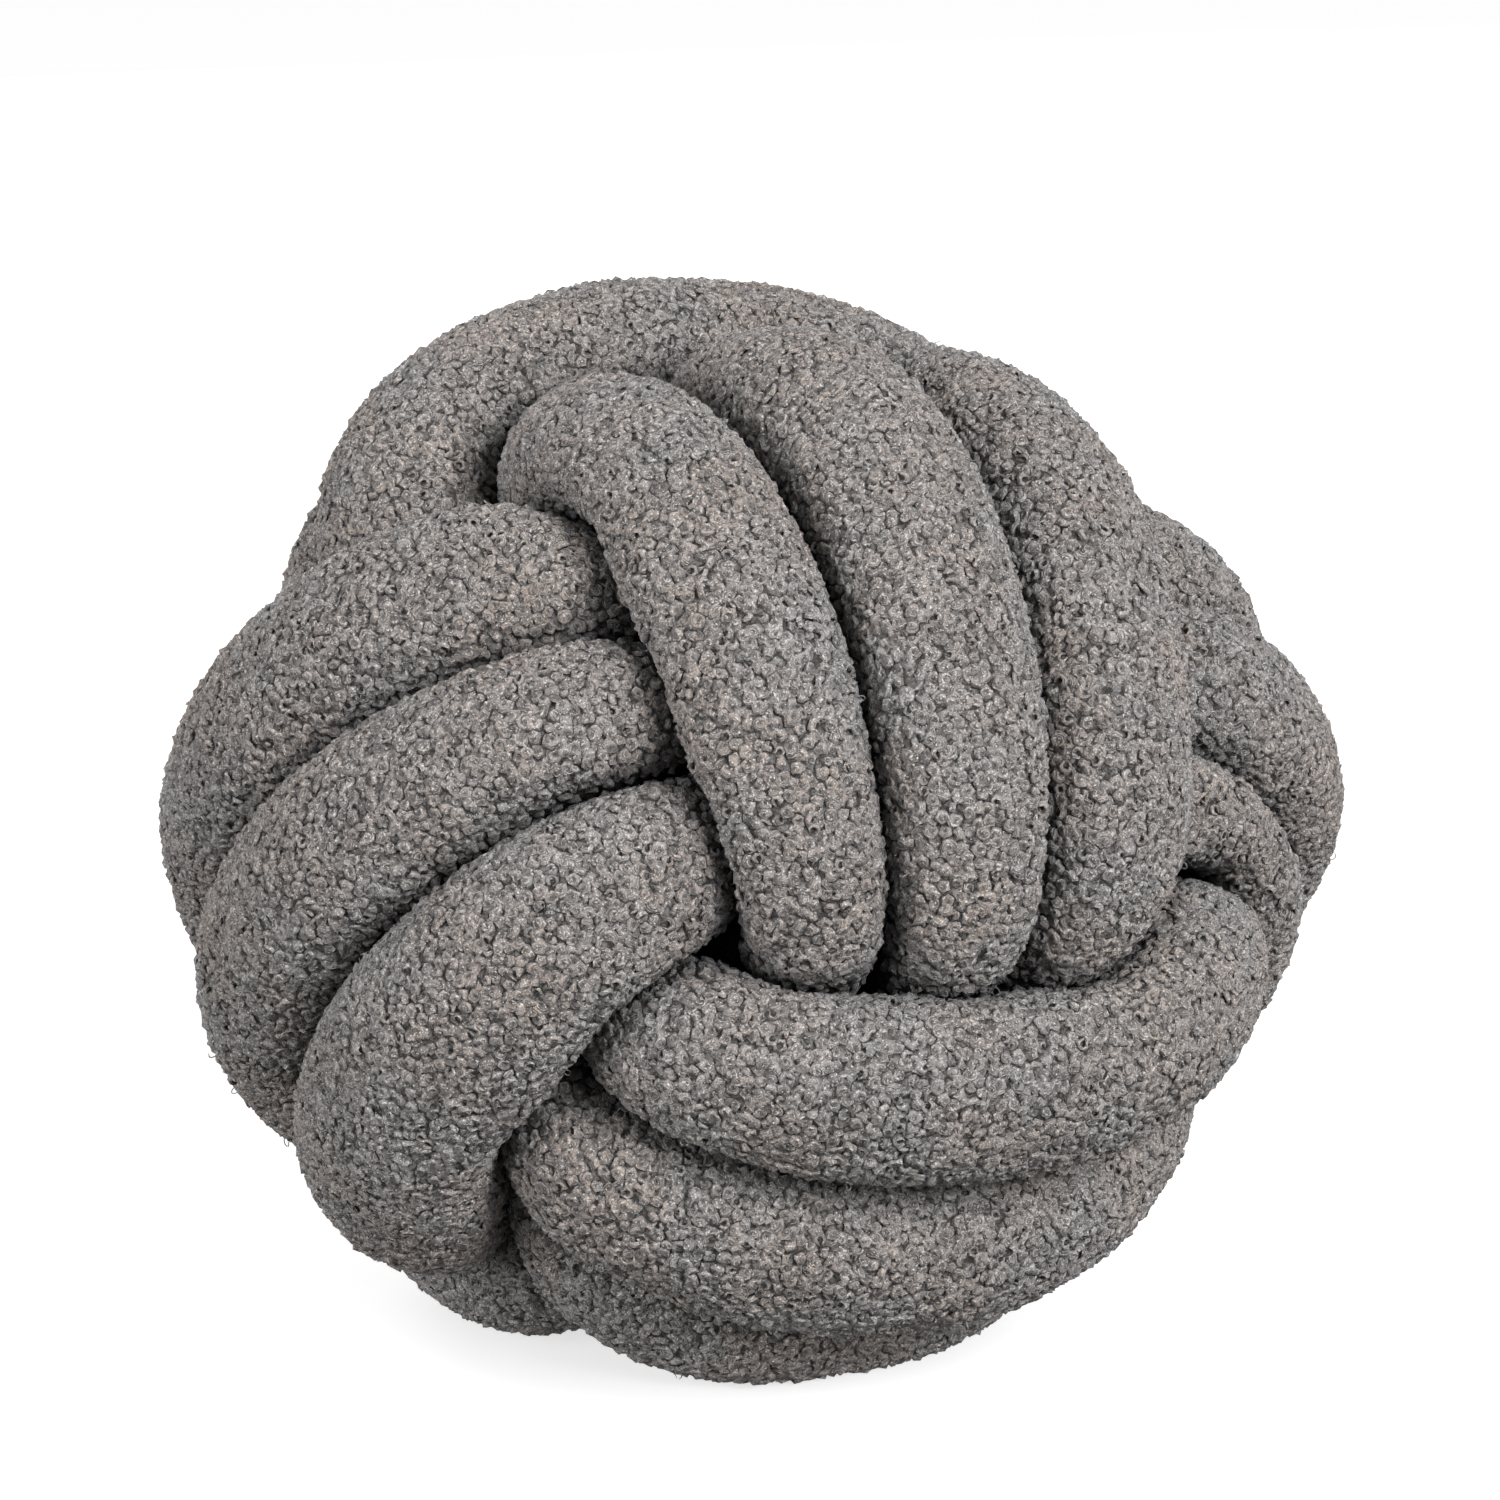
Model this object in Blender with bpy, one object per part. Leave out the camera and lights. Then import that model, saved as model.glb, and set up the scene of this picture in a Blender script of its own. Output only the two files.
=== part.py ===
"""Knot cushion, 25 cm across: one long stuffed tube of curly boucle cloth, tied into a ball.

The tube makes three turns in each of three directions, so each of the ball's six sides shows three
strands lying side by side, and every strand's ends dive under the strands of the next sides. The
tube's two closed ends are tucked into the middle. The knot is worked out in a frame of its own, with
its X, Y and Z through the middles of its sides, and then turned as it lies on the floor.
Metres, +Z up, origin on the floor under the middle of the ball.
"""
import math
from collections import namedtuple

import bmesh
import bpy
import numpy as np
from mathutils import Euler
from mathutils.bvhtree import BVHTree

MM = 0.001

# Driving sizes
STRAND_CIRCLE = 104 * MM      # from the ball's middle to the middle of a strand that shows
STRAND_SHOULDER = 101 * MM    # the same, a fifth of the way in from each end of that strand
STRAND_DIVE = 88 * MM         # the same, where the strand goes under its neighbours
STRAND_STATIONS = (           # share of the way along a strand, and its distance from the ball's middle
    (0.0, STRAND_DIVE),
    (0.2, STRAND_SHOULDER),
    (0.5, STRAND_CIRCLE),
    (0.8, STRAND_SHOULDER),
    (1.0, STRAND_DIVE),
)
RUN_CIRCLE = 60 * MM          # from the ball's middle to a hidden run through the ball
RUN_SQUEEZE = 0.85            # how much the hidden runs bunch towards each other
RUN_RADIUS = 36 * MM          # how far a hidden run fills out where nothing presses on it
DIVE_RADIUS = 30 * MM
TAIL_RADIUS = 26 * MM
PRESSED_GAP = 1.0 * MM        # between strands that press on each other
DOME_SHARE = 0.45             # height of a closed end's dome, as a share of the tube's radius there
SAG = 0.95                    # height kept under the cushion's own weight
FLOOR_BELOW_MIDDLE = 104.5 * MM
KNOT_TURN = (80, -46, -58)    # degrees about X, Y and Z, from the knot's frame to the floor's

# Mesh
SIDES = 16
RING_STEP = 11.5 * MM         # along the strands that show
RUN_STEP = 23 * MM            # along the hidden runs
PATH_STEP = 5 * MM            # of the points that press on each other
SAME_STRETCH = 12 * MM        # points this close along the tube don't press on each other
LEAST_REACH = 0.1 * MM
OUT_OF_REACH = 9.0
TINY = 1e-6
SPAN_STEPS = 30               # samples of the tube's curve between two of its points
SPAN_EVENNESS = 0.7           # 1 spaces the curve's points by distance, 0 evenly
EASED_GAP = 0.3 * MM          # left between two stretches of the finished tube
EASING_STEP = 0.3 * MM
EASING_SHARE = 0.2            # the most that one round takes of a corner's distance from the tube's middle
EASING_SPREAD = 0.5           # how far a corner's neighbours follow it
EASING_ROUNDS = 200
SKIN_CIRCLE = 108 * MM        # corners this far from the ball's middle give way least
SKIN_DEPTH = 25 * MM
LEAST_YIELD = 0.12
NEIGHBOUR_RINGS = 3           # rings this close along the tube are joined, not pressed
CAP_RINGS = 3
ROUNDING = 8                  # higher is a sharper edge where a strand is pressed flat

# The sides of the ball: outward, along the strands, across them.
AXES = np.eye(3)
SIDE_FRAMES = {
    "front": (AXES[0], AXES[1], AXES[2]),
    "back": (-AXES[0], AXES[1], AXES[2]),
    "over": (AXES[1], AXES[2], AXES[0]),
    "under": (-AXES[1], AXES[2], AXES[0]),
    "left": (AXES[2], AXES[0], AXES[1]),
    "right": (-AXES[2], AXES[0], AXES[1]),
}

# Every strand that shows, in the order in which the tube makes them. enters and leaves are degrees
# along the side, the three across values are degrees off its middle line, the three lifts are
# millimetres off the strand circle, and radius is the free strand's, in millimetres.
Strand = namedtuple(
    "Strand",
    "side enters leaves across_in across_mid across_out lift_in lift_mid lift_out radius",
)
STRANDS = (
    Strand("front", -50, 27, 18, 25, 32, 0, 0, 0, 25),
    Strand("back", 45, -52, 23, 24, 25, 0, 0, 3, 25),
    Strand("front", -50, 27, 3, 6, 9, 0, 0, 0, 25),
    Strand("back", 45, -45, 0, 0, 0, 0, -2, 0, 25),
    Strand("front", -50, 27, -11, -12, -13, 0, -2, -2, 25),
    Strand("back", 45, -45, -23, -23, -23, 0, 0, 0, 25),
    Strand("over", -42, 50, 30, 27, 20, -9, -8, 6, 25),
    Strand("under", 42, -54, 24, 31, 27, 0, 0, -6, 26),
    Strand("over", -42, 50, 6, 3, -1, -8, -10, -3, 25),
    Strand("under", 42, -48, 5, 5, 2, 0, -2, -9, 25),
    Strand("over", -42, 45, -17, -18, -22, -6, -9, 0, 26),
    Strand("under", 30, -45, -18, -20, -20, -1, -5, -7, 25),
    Strand("left", -40, 52, 5, 9, 4, 0, -4, 0, 25),
    Strand("right", 45, -45, 10, 12, 18, -6, -6, 0, 25),
    Strand("left", -42, 54, -16, -13, -14, 0, -3, 0, 25),
    Strand("right", 45, -45, -9, -8, -3, 0, -1, -1, 25),
    Strand("left", -40, 52, -38, -36, -30, 0, 2, 2, 27),
    Strand("right", 50, -45, -23, -24, -24, -6, -10, -6, 25),
)

# What the ball hides, in the knot's frame, in millimetres from its middle: the two tucked ends, and
# the crossings through the middle after the first and the second winding of six strands.
FIRST_TAIL = ((14, 16, 14), (2, -18, 28), (22, -58, 36))
LAST_TAIL = ((-50, -30, -30), (-24, -20, 4))
CROSSINGS = {
    6: ((-30, -50, -30), (6, -22, -20), (36, 18, -38)),
    12: ((-30, -30, -50), (-20, 6, -22), (-46, 22, 20)),
}

BOUCLE_GREY = (0.185, 0.178, 0.170, 1.0)
BOUCLE_ROUGHNESS = 0.95


def unit(vectors):
    return vectors / np.linalg.norm(vectors, axis=-1, keepdims=True)


def through_three(first, middle, last, share):
    """The value at share of the way along a parabola through three values."""
    early = first * 2 * (share - 0.5) * (share - 1)
    centre = middle * 4 * share * (1 - share)
    late = last * 2 * share * (share - 0.5)
    return early + centre + late


def strand_points(strand):
    """Five points along the middle of one strand that shows."""
    outward, along, across = SIDE_FRAMES[strand.side]
    points = []
    for share, reach in STRAND_STATIONS:
        turn = math.radians(strand.enters + (strand.leaves - strand.enters) * share)
        lean = through_three(strand.across_in, strand.across_mid, strand.across_out, share)
        lean = math.radians(lean)
        lift = through_three(strand.lift_in, strand.lift_mid, strand.lift_out, share) * MM
        level = math.cos(turn) * outward + math.sin(turn) * along
        points.append((reach + lift) * (math.cos(lean) * level + math.sin(lean) * across))
    return points


def run_point(leaving, entering, side):
    """The middle of the hidden run from one strand's end to the next strand's start."""
    _, along, across = SIDE_FRAMES[side]
    halfway = (leaving + entering) / 2
    below = np.sign(halfway @ along) * RUN_CIRCLE
    return below * along + RUN_SQUEEZE * (halfway @ across) * across


def hidden_points(strands, made):
    """The points between the last strand made and the next one."""
    if made in CROSSINGS:
        return [np.array(point) * MM for point in CROSSINGS[made]]
    if made == 0:
        return [np.array(point) * MM for point in FIRST_TAIL]
    if made == len(strands):
        return [np.array(point) * MM for point in LAST_TAIL]
    return [run_point(strands[made - 1][-1], strands[made][0], STRANDS[made - 1].side)]


def tube_route():
    """The tube's points from one tucked end to the other, each with its free radius and whether it shows."""
    strands = [strand_points(strand) for strand in STRANDS]
    places = []
    radii = []
    shows = []
    for made in range(len(STRANDS) + 1):
        hidden = hidden_points(strands, made)
        places.extend(hidden)
        radii.extend([RUN_RADIUS] * len(hidden))
        shows.extend([0.0] * len(hidden))
        if made < len(STRANDS):
            radius = STRANDS[made].radius * MM
            places.extend(strands[made])
            radii.extend([DIVE_RADIUS, radius, radius, radius, DIVE_RADIUS])
            shows.extend([1.0] * len(strands[made]))
    radii[0] = TAIL_RADIUS
    radii[-1] = TAIL_RADIUS
    turn = Euler([math.radians(angle) for angle in KNOT_TURN], "XYZ").to_matrix()
    places = np.array(places) @ np.array(turn).T
    places[:, 2] = places[:, 2] * SAG + FLOOR_BELOW_MIDDLE
    return places, np.array(radii), np.array(shows)


def smooth_curve(points):
    """A natural cubic spline through the points, with each sample's place in the list of points."""
    chords = np.linalg.norm(np.diff(points, axis=0), axis=1) ** SPAN_EVENNESS
    knots = np.concatenate([[0.0], np.cumsum(chords)])
    count = len(points)
    system = np.eye(count)
    right = np.zeros((count, 3))
    for i in range(1, count - 1):
        before = chords[i - 1]
        after = chords[i]
        system[i, i - 1] = before
        system[i, i] = 2 * (before + after)
        system[i, i + 1] = after
        rise_after = (points[i + 1] - points[i]) / after
        rise_before = (points[i] - points[i - 1]) / before
        right[i] = 6 * (rise_after - rise_before)
    bends = np.linalg.solve(system, right)
    spans = np.arange(0, count - 1, 1 / SPAN_STEPS)
    left_point = np.minimum(spans.astype(int), count - 2)
    width = chords[left_point][:, None]
    to_right = (spans - left_point)[:, None] * width
    to_left = width - to_right
    cubic = (bends[left_point] * to_left**3 + bends[left_point + 1] * to_right**3) / (6 * width)
    start = points[left_point] / width - bends[left_point] * width / 6
    end = points[left_point + 1] / width - bends[left_point + 1] * width / 6
    return cubic + start * to_left + end * to_right, spans


def at_places(places, table, columns):
    """Reads columns, given at table's places, at new places."""
    columns = np.asarray(columns)
    if columns.ndim == 1:
        return np.interp(places, table, columns)
    return np.stack([np.interp(places, table, column) for column in columns.T], axis=1)


def untwisted_frames(centres):
    """Each ring's forward direction and two directions across it that don't spin along the tube."""
    forward = unit(np.gradient(centres, axis=0))
    sideways = np.zeros_like(centres)
    sideways[0] = unit(np.cross(forward[0], AXES[2]))
    for i in range(1, len(centres)):
        carried = sideways[i - 1] - forward[i] * (sideways[i - 1] @ forward[i])
        sideways[i] = unit(carried)
    return forward, sideways, np.cross(forward, sideways)


def pressed_radii(centres, rays, free, lengths, path, path_free, path_lengths):
    """How far each ray of each ring reaches before it meets the halfway plane to another stretch of tube."""
    reach = np.zeros(rays.shape[:2])
    for ring in range(len(centres)):
        away = path - centres[ring]
        squared = (away**2).sum(axis=1)
        halfway = (squared + free[ring] ** 2 - path_free**2) / 2
        halfway = np.maximum(halfway, squared / 4)
        ahead = rays[ring] @ away.T
        other = np.abs(path_lengths - lengths[ring]) > SAME_STRETCH
        counted = (ahead > TINY) & other[None, :]
        distance = np.where(counted, halfway[None, :] / np.maximum(ahead, TINY), OUT_OF_REACH)
        reach[ring] = distance.min(axis=1)
    reach = np.maximum(reach - PRESSED_GAP / 2, LEAST_REACH)
    return (reach**-ROUNDING + free[:, None] ** -ROUNDING) ** (-1 / ROUNDING)


def above_floor(centres, rays, reach):
    """Shortens the rays that would go through the floor, which leaves the cushion flat where it rests."""
    down = -rays[:, :, 2]
    to_floor = np.where(down > TINY, centres[:, None, 2] / np.maximum(down, TINY), np.inf)
    return np.minimum(reach, to_floor)


def ring_lengths(lengths, shows):
    """Distances along the tube at which it has a ring: close where the tube shows, further apart inside."""
    step = RUN_STEP + (RING_STEP - RUN_STEP) * shows
    rings_so_far = np.concatenate([[0.0], np.cumsum(np.diff(lengths) / step[1:])])
    count = round(rings_so_far[-1]) + 1
    return np.interp(np.linspace(0, rings_so_far[-1], count), rings_so_far, lengths)


def tube_rings():
    """The corners of the tube, a row of SIDES for each ring, and the middle of each ring."""
    points, radii, shows = tube_route()
    curve, spans = smooth_curve(points)
    curve_lengths = np.concatenate([[0.0], np.cumsum(np.linalg.norm(np.diff(curve, axis=0), axis=1))])
    order = np.arange(len(points))
    curve_radii = at_places(spans, order, radii)
    curve_shows = at_places(spans, order, shows)

    path_lengths = np.linspace(0, curve_lengths[-1], round(curve_lengths[-1] / PATH_STEP))
    path = at_places(path_lengths, curve_lengths, curve)
    path_free = at_places(path_lengths, curve_lengths, curve_radii)

    lengths = ring_lengths(curve_lengths, curve_shows)
    _, path_side, path_up = untwisted_frames(path)
    centres = at_places(lengths, curve_lengths, curve)
    sideways = unit(at_places(lengths, path_lengths, path_side))
    upwards = unit(at_places(lengths, path_lengths, path_up))
    free = at_places(lengths, curve_lengths, curve_radii)

    around = (np.arange(SIDES) * 2 * math.pi / SIDES)[None, :, None]
    rays = np.cos(around) * sideways[:, None] + np.sin(around) * upwards[:, None]
    reach = pressed_radii(centres, rays, free, lengths, path, path_free, path_lengths)
    reach = above_floor(centres, rays, reach)
    return centres[:, None] + reach[:, :, None] * rays, centres


def add_rounded_end(mesh, ring, centre, inside):
    """Closes the tube with a low dome that points away from inside."""
    outward = unit(centre - inside)
    height = DOME_SHARE * float(np.linalg.norm(ring - centre, axis=1).mean())
    loops = [[mesh.verts.new(corner) for corner in ring]]
    for step in range(1, CAP_RINGS):
        angle = step / CAP_RINGS * math.pi / 2
        lifted = centre + math.cos(angle) * (ring - centre) + math.sin(angle) * height * outward
        loops.append([mesh.verts.new(corner) for corner in lifted])
    tip = mesh.verts.new(centre + height * outward)
    for outer, inner in zip(loops, loops[1:]):
        for i in range(SIDES):
            j = (i + 1) % SIDES
            mesh.faces.new((outer[i], outer[j], inner[j], inner[i]))
    for i in range(SIDES):
        mesh.faces.new((loops[-1][i], loops[-1][(i + 1) % SIDES], tip))
    return loops[0]


def spread_to_neighbours(marked):
    """Lets each corner of the tube follow the corners beside it, along the tube and around it."""
    beside = np.maximum(np.roll(marked, 1, axis=1), np.roll(marked, -1, axis=1))
    padded = np.pad(marked, ((1, 1), (0, 0)))
    along = np.maximum(padded[:-2], padded[2:])
    return np.maximum(marked, EASING_SPREAD * np.maximum(beside, along))


def yielding(corners):
    """How far each corner gives way: fully deep in the ball, and only a little where it shows."""
    from_middle = np.linalg.norm(corners - np.array([0.0, 0.0, FLOOR_BELOW_MIDDLE]), axis=2)
    return np.clip((SKIN_CIRCLE - from_middle) / SKIN_DEPTH, LEAST_YIELD, 1.0)


def eased_apart(rings, centres):
    """Draws in the places where flat facets of two stretches of tube would still cross."""
    count = len(rings)
    corner = np.arange(count * SIDES).reshape(count, SIDES)
    beside = np.roll(corner, -1, axis=1)
    quads = np.stack([corner[:-1], beside[:-1], beside[1:], corner[1:]], axis=2).reshape(-1, 4)
    either_diagonal = ((0, 1, 2), (0, 2, 3), (0, 1, 3), (1, 2, 3))
    facets = np.concatenate([quads[:, list(three)] for three in either_diagonal])
    facet_ring = facets.min(axis=1) // SIDES
    for _ in range(EASING_ROUNDS):
        inwards = centres[:, None] - rings
        depth = np.linalg.norm(inwards, axis=2, keepdims=True)
        swollen = rings - inwards / depth * EASED_GAP / 2
        tree = BVHTree.FromPolygons(swollen.reshape(-1, 3).tolist(), facets.tolist())
        pairs = np.array(tree.overlap(tree), dtype=int).reshape(-1, 2)
        pairs = pairs[np.abs(facet_ring[pairs[:, 0]] - facet_ring[pairs[:, 1]]) > NEIGHBOUR_RINGS]
        if len(pairs) == 0:
            return rings
        crossing = np.zeros(count * SIDES)
        crossing[facets[pairs.ravel()]] = 1.0
        crossing = spread_to_neighbours(crossing.reshape(count, SIDES))
        moved = crossing * yielding(rings)
        step = np.minimum(EASING_STEP, EASING_SHARE * depth) * moved[:, :, None]
        rings = rings + inwards / depth * step
    raise RuntimeError("two stretches of the tube still touch")


def build_tube():
    rings, centres = tube_rings()
    rings = eased_apart(rings, centres)
    mesh = bmesh.new()
    first = add_rounded_end(mesh, rings[0], centres[0], centres[1])
    last = add_rounded_end(mesh, rings[-1], centres[-1], centres[-2])
    loops = [first] + [[mesh.verts.new(corner) for corner in ring] for ring in rings[1:-1]] + [last]
    for near, far in zip(loops, loops[1:]):
        for i in range(SIDES):
            j = (i + 1) % SIDES
            mesh.faces.new((near[i], near[j], far[j], far[i]))
    bmesh.ops.recalc_face_normals(mesh, faces=mesh.faces)
    centre_over_origin(mesh)
    data = bpy.data.meshes.new("knot_tube")
    mesh.to_mesh(data)
    mesh.free()
    data.shade_smooth()
    tube = bpy.data.objects.new("knot_tube", data)
    bpy.context.scene.collection.objects.link(tube)
    return tube


def centre_over_origin(mesh):
    """Moves the ball sideways so that the middle of its box is over the origin."""
    corners = np.array([vertex.co for vertex in mesh.verts])
    middle = (corners.min(axis=0) + corners.max(axis=0)) / 2
    for vertex in mesh.verts:
        vertex.co.x -= middle[0]
        vertex.co.y -= middle[1]


def boucle_material():
    material = bpy.data.materials.new("boucle_cloth")
    material.use_nodes = True
    shader = material.node_tree.nodes["Principled BSDF"]
    shader.inputs["Base Color"].default_value = BOUCLE_GREY
    shader.inputs["Roughness"].default_value = BOUCLE_ROUGHNESS
    shader.inputs["Metallic"].default_value = 0.0
    return material


def main():
    for item in list(bpy.data.objects):
        bpy.data.objects.remove(item, do_unlink=True)
    tube = build_tube()
    tube.data.materials.append(boucle_material())


main()
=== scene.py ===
"""Knot cushion, 25 cm across: its curly boucle cloth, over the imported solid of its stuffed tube.

The stuffed tube is a smoothed copy of the solid. The cloth's pile is made of small nubs and open
curls of yarn, packed side by side over all of the tube that can be seen, and a few loose curls
stand out from it. Metres, +Z up, origin on the floor under the middle of the ball's box.
"""
import math

import bpy
import numpy as np
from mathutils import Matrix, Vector
from mathutils.bvhtree import BVHTree
from mathutils.kdtree import KDTree


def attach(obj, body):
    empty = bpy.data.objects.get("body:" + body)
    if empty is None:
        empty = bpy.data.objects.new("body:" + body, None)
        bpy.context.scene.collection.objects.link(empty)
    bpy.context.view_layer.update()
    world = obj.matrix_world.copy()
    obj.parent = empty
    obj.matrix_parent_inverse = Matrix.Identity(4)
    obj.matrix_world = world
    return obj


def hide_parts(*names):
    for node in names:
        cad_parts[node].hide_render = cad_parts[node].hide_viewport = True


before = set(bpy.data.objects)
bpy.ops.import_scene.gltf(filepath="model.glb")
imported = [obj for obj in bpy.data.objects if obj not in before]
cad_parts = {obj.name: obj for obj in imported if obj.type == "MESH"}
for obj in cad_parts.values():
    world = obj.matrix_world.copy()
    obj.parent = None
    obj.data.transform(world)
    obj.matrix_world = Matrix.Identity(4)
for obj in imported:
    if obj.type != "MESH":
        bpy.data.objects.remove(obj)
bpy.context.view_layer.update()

bl_info = {
    "name": "Knot cushion",
    "version": (1, 0, 0),
    "blender": (4, 5, 0),
    "location": "3D View > Sidebar > Knot cushion",
    "description": "Covers the knot cushion's tube in curly boucle cloth, on a studio floor",
    "category": "Object",
}

MM = 0.001
BODY = "root"
SOLID = "knot_tube"
BALL_MIDDLE = Vector((-1.8 * MM, 2.7 * MM, 104.5 * MM))

# The tube
WELD = 0.01 * MM
QUAD_ANGLE = math.radians(60)
TUBE_LEVELS = 1
FLOOR_CLEARANCE = 0.15 * MM

# How open the cloth lies, and where its nubs go
SKY_DIRECTIONS = 60
LEAST_RISE = 0.15             # cosine between a look-out direction and the cloth's normal
LOOKOUT_START = 0.6 * MM
LOOKOUT_LENGTH = 300 * MM
LEAST_OPEN = 0.12             # share of the look-out directions that reach the open
WELL_OPEN = 0.35
CREASE_SPACING = 1.4          # spacing of nubs in the creases, over that in the open
TRIES_PER_NUB = 20

# Nubs and curls, where a nub's radius is 1
TUFT_SIDES = 5
TUFT_TOP = 0.66
TUFT_HEIGHT = 0.56
TUFT_DIMPLE = 0.3
DIMPLE_SHIFT = 0.22           # how far a dimple lies from the middle of its nub
TUFT_SIZES = (0.85, 1.15)     # all round, and again along each axis
TUFT_LEAN = 0.22
UNEVENNESS = 0.1              # how far each of a nub's corners is moved
CURL_RADIUS = 0.6
CURL_ROD = 0.46               # radius of the rod that is curled
CURL_TURN = math.radians(285)
CURL_STEPS = 5
CURL_END = 0.55               # thickness of a curl's ends, over the rod's
CURL_SIZES = (0.8, 1.05)
CURL_LEAN = 0.4
LOOSE_ROD = 0.14              # over the loose curl's own radius
LOOSE_STEPS = 8
LOOSE_SIZES = (0.4, 0.75)
LOOSE_LEAN = 0.3
RISE = (0.0, 0.25)            # of a nub's or a curl's middle above the cloth
LOOSE_RISE = (0.5, 0.9)
UPWARD = 0.99                 # least height of the normal of a face that faces up
SHAPE_WELD = 1e-4

# Pieces, and the UV map that their colours can be baked through
TRIANGLES_A_PIECE = 190_000
EXPORT_MAP = "OFBake"         # the name of the UV map that colours can be baked through; the UV map's name that the export keeps
UPPER_MIDDLE = (0.37, 0.63)   # where a nub's upper and lower faces lie in its square of the map
UPPER_REACH = 0.35
LOWER_MIDDLE = (0.86, 0.14)
LOWER_REACH = 0.12

# The cloth's colours. Shades are shares of a colour's brightness, each from darkest to lightest;
# some of them paint shade and highlights into the colour
PATCH_WIDTH = 22 * MM
PATCH_NOISE = (0.36, 0.66)    # noise at which a patch starts, and at which it is fully warm
# Painted shade in creases: darkest at the first openness, gone at the second
CREASE_OPEN = (0.02, 0.7)     # openness of the deepest crease, and of cloth in full light
PAINTED_CREASE_SHADES = (0.12, 1.0)
RIDGE_SLOPE = 2.2             # more makes the ridges in noise thinner
TURNS_A_RADIUS = 2.6          # turns of fibre from a nub's dimple to its rim
TURN_CHANGE = 0.6             # how much the fibres change on their way round the dimple
NUB_CHANGE = 90.0             # how much they change from one nub to another
TURN_DISTORTION = 0.6
TURN_SHARE = 0.65             # of fibres that turn round the dimple; the rest are straighter
FIBRE_WIDTH = 0.9 * MM
FIBRE_DISTORTION = 2.0
FUZZ_WIDTH = 0.45 * MM
RING_PLACES = (0.5, 0.75)     # how far from the dimple a nub's ring of yarn is highest
RING_WIDTH = 0.5
ROOT_SHADE_HEIGHT = 0.45            # where the painted shade at a nub's root has gone over into the yarn's colour
# Painted shade in each nub's dimple: darkest out to the first distance, gone at the second
DIMPLE_SHADE_EDGE = (0.05, 0.35)
STRAND_SHADES = (0.15, 2.25)
# Painted highlight on each nub's raised ring of yarn
RING_HIGHLIGHT_SHADES = (0.85, 1.15)
DIMPLE_PAINTED_SHADES = (0.55, 1.0)
TONE_SHADES = (0.93, 1.07)
# Painted highlight: where a glint of light is painted into the colour
GLINT_FUZZ = (0.57, 0.65)     # fuzz and strands at which a glint starts, and at which it is full
GLINT_STRANDS = (0.4, 0.65)
GLINT_SHINE = 0.45            # how much less rough a glint is
RING_RELIEF = 0.4
STRAND_RELIEF = 0.9
FUZZ_RELIEF = 0.3
PILE_DEPTH = 0.5 * MM
GROUND_CELL = 2.2 * MM
GROUND_CRACK = 0.22
GROUND_FIBRE = 1.2 * MM
# Painted shade in the cracks between the ground's cells
GROUND_PAINTED_CRACK_SHADES = (0.35, 1.1)
GROUND_FIBRE_SHADES = (0.6, 1.5)
GROUND_FIBRE_RELIEF = 0.2
GROUND_DEPTH = 1.2 * MM
PAPER_GRAIN = 6 * MM
PAPER_ROUGHNESS = (0.8, 0.9)

# The photograph
PHOTO_SIZE = 1500
PHOTO_BALL_MIDDLE_Y = 822     # pixels down from the top
CAMERA_ELEVATION = math.radians(15)
CAMERA_DISTANCE = 1.0
CAMERA_LENS = 113
CAMERA_SENSOR = 36

# The stage
BACKDROP_WIDTH = 12.0
BACKDROP_HEIGHT = 4.0
BACKDROP_CURVE = 1.2
BACKDROP_SEGMENTS = 16
LIGHTS = {                    # where each light is, and how wide
    "key": ((1.3, -1.8, 1.3), 1.1),
    "fill": ((-1.7, -1.3, 0.6), 1.4),
    "back": ((-0.9, 2.2, 0.6), 1.2),
}
SURROUND_HEIGHTS = (-0.8, 0.2)  # of a unit direction, where the light from it is weakest and full
SURROUND_BELOW = 0.2          # the surround's strength from below, over its full strength


# ---------------------------------------------------------------- settings


class KnotTubeSettings(bpy.types.PropertyGroup):
    """Sizes of the stuffed tube."""

    lump_height: bpy.props.FloatProperty(
        name="Lump height",
        description="How far the filling pushes the cloth out and in",
        default=1.2 * MM,
        unit="LENGTH",
        precision=4,
    )
    lump_width: bpy.props.FloatProperty(
        name="Lump width",
        description="How wide a lump of filling is",
        default=34 * MM,
        unit="LENGTH",
        precision=4,
    )
    # Darker than the yarn, partly as painted shade where the ground shows between the nubs
    ground_colour: bpy.props.FloatVectorProperty(
        name="Ground colour",
        description="Colour of the cloth under its pile",
        default=(0.13, 0.121, 0.114),
        subtype="COLOR",
        min=0.0,
        max=1.0,
    )


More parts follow.
